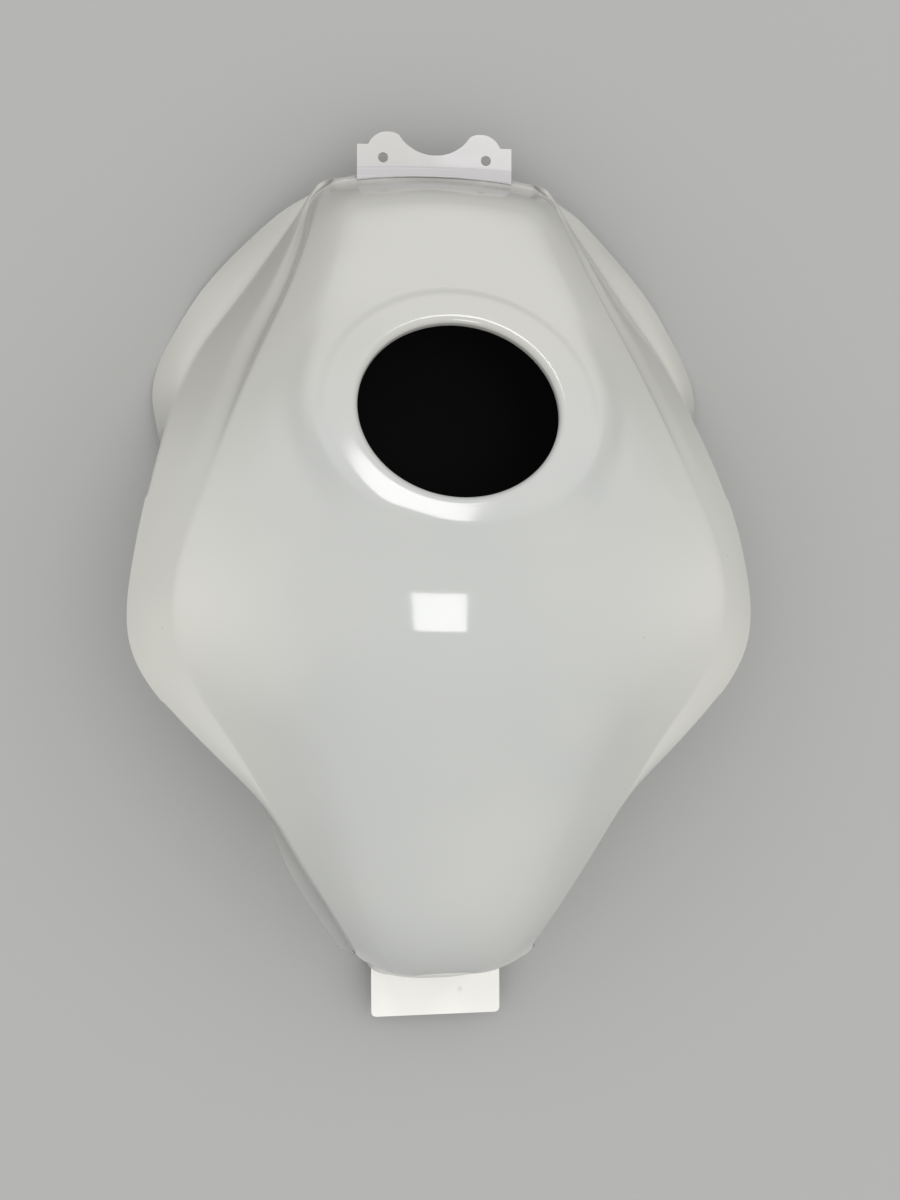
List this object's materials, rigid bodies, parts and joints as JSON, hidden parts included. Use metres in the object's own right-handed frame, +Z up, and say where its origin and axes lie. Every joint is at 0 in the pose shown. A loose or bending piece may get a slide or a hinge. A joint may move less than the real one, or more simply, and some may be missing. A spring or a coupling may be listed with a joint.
{
  "type": "fuel tank cover",
  "caption": "Moulded white plastic cover shell for a motorcycle fuel tank, with a round filler opening, a front bracket with screw ears and a flat rear tongue.",
  "frame": {"origin": "middle of the cover's box, on the surface that the cover stands on", "axes": "+Y towards the front bracket, +X to the right seen from above with the front up, +Z up"},
  "size_m": [0.3946, 0.588, 0.184],
  "materials": {
    "shell_plastic": "moulded gloss white, unpainted",
    "bracket_plastic": "moulded satin white sheet",
    "tongue_plastic": "matt white sheet, lightly scuffed"
  },
  "bodies": {
    "root": {"cover_shell": "shell_plastic", "front_bracket": "bracket_plastic", "rear_tongue": "tongue_plastic"}
  },
  "joints": []
}
